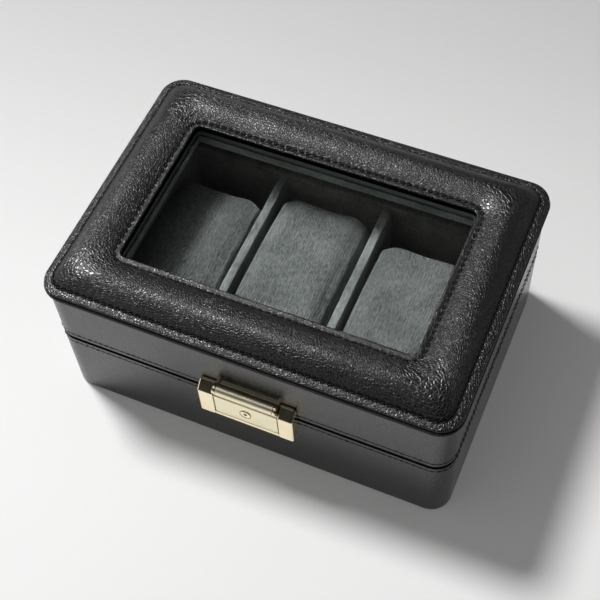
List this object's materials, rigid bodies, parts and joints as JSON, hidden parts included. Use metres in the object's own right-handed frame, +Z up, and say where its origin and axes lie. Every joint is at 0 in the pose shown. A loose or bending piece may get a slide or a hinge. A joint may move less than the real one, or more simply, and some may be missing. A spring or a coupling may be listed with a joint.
{
  "type": "watch display box",
  "caption": "Leather-covered watch box with a padded, glazed lid on back hinges, a flap latch with a key cylinder, velvet tray, dividers and loose pillows.",
  "frame": {"origin": "middle of the underside", "axes": "+X along the front to the right, +Y towards the hinges, +Z up"},
  "size_m": [0.201, 0.1472, 0.0914],
  "materials": {
    "smooth_leather": "smooth satin black",
    "padded_leather": "pebbled satin black",
    "fibreboard": "raw fibreboard",
    "lining_velvet": "slate-grey velvet",
    "pillow_velvet": "slate-grey ribbed velvet",
    "felt": "black felt",
    "window_glass": "clear, polished",
    "lock_gold": "polished pale gold plating",
    "hinge_gold": "satin gold plating",
    "screw_steel": "bright"
  },
  "bodies": {
    "base": {"base_board_back": "fibreboard", "base_board_front": "fibreboard", "base_board_left": "fibreboard", "base_board_right": "fibreboard", "base_felt": "felt", "base_floor_board": "fibreboard", "base_leather_wrap": "smooth_leather", "divider_left": "lining_velvet", "divider_right": "lining_velvet", "hinge_left_base_leaf": "hinge_gold", "hinge_left_pin": "hinge_gold", "hinge_right_base_leaf": "hinge_gold", "hinge_right_pin": "hinge_gold", "hinge_screws_base": "hinge_gold", "lock_case": "lock_gold", "lock_case_screws": "screw_steel", "tray_floor_pad": "lining_velvet", "tray_wall_back": "lining_velvet", "tray_wall_front": "lining_velvet", "tray_wall_left": "lining_velvet", "tray_wall_right": "lining_velvet"},
    "lid": {"glass_frame_back": "lining_velvet", "glass_frame_front": "lining_velvet", "glass_frame_left": "lining_velvet", "glass_frame_right": "lining_velvet", "hinge_left_lid_leaf": "hinge_gold", "hinge_right_lid_leaf": "hinge_gold", "hinge_screws_lid": "hinge_gold", "latch_mount": "lock_gold", "latch_mount_screws": "screw_steel", "latch_pin": "screw_steel", "lid_board_back": "fibreboard", "lid_board_front": "fibreboard", "lid_board_left": "fibreboard", "lid_board_right": "fibreboard", "lid_leather_wrap": "smooth_leather", "lid_pad": "padded_leather", "lid_side_lining": "lining_velvet", "lid_top_board": "fibreboard", "window_glass": "window_glass"},
    "latch_flap": {"latch_flap": "lock_gold"},
    "lock_cylinder": {"lock_cam": "screw_steel", "lock_cylinder": "lock_gold"},
    "pillow_centre": {"pillow_centre": "pillow_velvet"},
    "pillow_left": {"pillow_left": "pillow_velvet"},
    "pillow_right": {"pillow_right": "pillow_velvet"}
  },
  "joints": [
    {"name": "lid_hinge", "type": "hinge", "parent": "base", "child": "lid", "pos_m": [0, 0.0704, 0.0466], "axis": [-1, 0, 0], "range_deg": [0, 95]},
    {"name": "latch_swing", "type": "hinge", "parent": "lid", "child": "latch_flap", "pos_m": [0.0031, -0.0722, 0.0562], "axis": [-1, 0, 0], "range_deg": [0, 100]},
    {"name": "key_turn", "type": "hinge", "parent": "latch_flap", "child": "lock_cylinder", "pos_m": [0.0031, -0.0739, 0.0444], "axis": [0, -1, 0], "range_deg": [0, 90]},
    {"name": "pillow_left_lift", "type": "slide", "parent": "base", "child": "pillow_left", "axis": [0, 0, 1], "range_m": [0, 0.018]},
    {"name": "pillow_centre_lift", "type": "slide", "parent": "base", "child": "pillow_centre", "axis": [0, 0, 1], "range_m": [0, 0.018]},
    {"name": "pillow_right_lift", "type": "slide", "parent": "base", "child": "pillow_right", "axis": [0, 0, 1], "range_m": [0, 0.018]}
  ]
}
